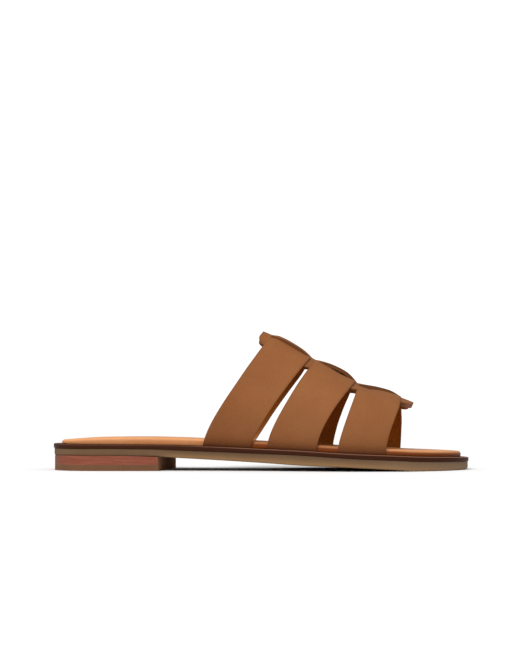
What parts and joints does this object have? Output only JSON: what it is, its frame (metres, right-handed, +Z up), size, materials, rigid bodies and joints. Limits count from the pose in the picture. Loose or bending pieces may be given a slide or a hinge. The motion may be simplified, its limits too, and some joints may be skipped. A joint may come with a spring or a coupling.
{
  "type": "flat sandal",
  "caption": "Flat slide sandal for the right foot: wide cross straps laced through a slit centre strip, on a layered sole with a low heel.",
  "frame": {"origin": "on the floor, below the middle of the sole's box", "axes": "+X from heel to toe, +Y to the inner side of the foot, +Z up"},
  "size_m": [0.2518, 0.0882, 0.0836],
  "materials": {
    "strap_leather": "matte brushed tan-brown leather",
    "insole_leather": "smooth light tan leather",
    "welt_leather": "dark brown stained and polished edge",
    "lift_leather": "red-brown stacked leather edge",
    "sole_rubber": "matte taupe"
  },
  "bodies": {
    "root": {"heel_lift": "lift_leather", "heel_top_piece": "sole_rubber", "insole": "insole_leather", "outsole": "sole_rubber", "upper": "strap_leather", "welt": "welt_leather"}
  },
  "joints": []
}
